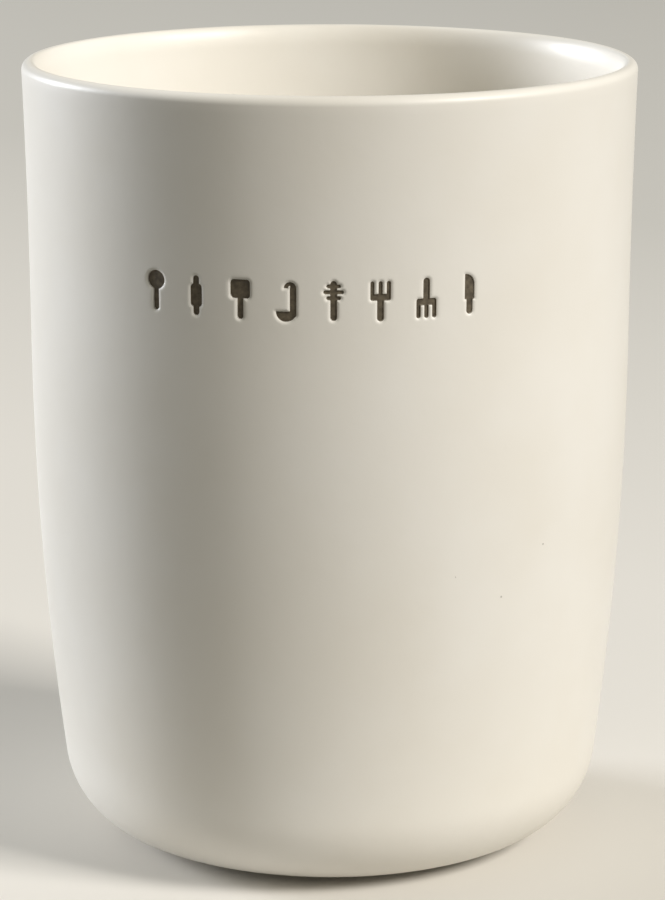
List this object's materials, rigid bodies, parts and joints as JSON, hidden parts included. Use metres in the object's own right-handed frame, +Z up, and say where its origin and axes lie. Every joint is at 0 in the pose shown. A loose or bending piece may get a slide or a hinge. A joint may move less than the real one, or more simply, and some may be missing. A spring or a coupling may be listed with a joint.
{
  "type": "utensil holder",
  "caption": "Straight-sided open stoneware crock with a satin glaze, a rounded lip, a narrow bare foot ring and a row of small stamped marks, for standing kitchen utensils in.",
  "frame": {"origin": "centre of the foot ring's flat underside, on the surface that the crock stands on", "axes": "+Z up along the crock's axis; the row of stamped marks faces -Y; +X is to the right of the marks"},
  "size_m": [0.132, 0.132, 0.171],
  "materials": {
    "fired_clay": "bare fired stoneware, matte",
    "satin_glaze": "cream satin glaze",
    "dark_stain": "dark brown oxide stain, matte"
  },
  "bodies": {
    "root": {"stoneware_body": "fired_clay", "glaze_coat": "satin_glaze", "foot_well_glaze": "satin_glaze", "spoon_mark_stain": "dark_stain", "rolling_pin_mark_stain": "dark_stain", "turner_mark_stain": "dark_stain", "ladle_mark_stain": "dark_stain", "honey_dipper_mark_stain": "dark_stain", "fork_mark_stain": "dark_stain", "brush_mark_stain": "dark_stain", "knife_mark_stain": "dark_stain"}
  },
  "joints": []
}
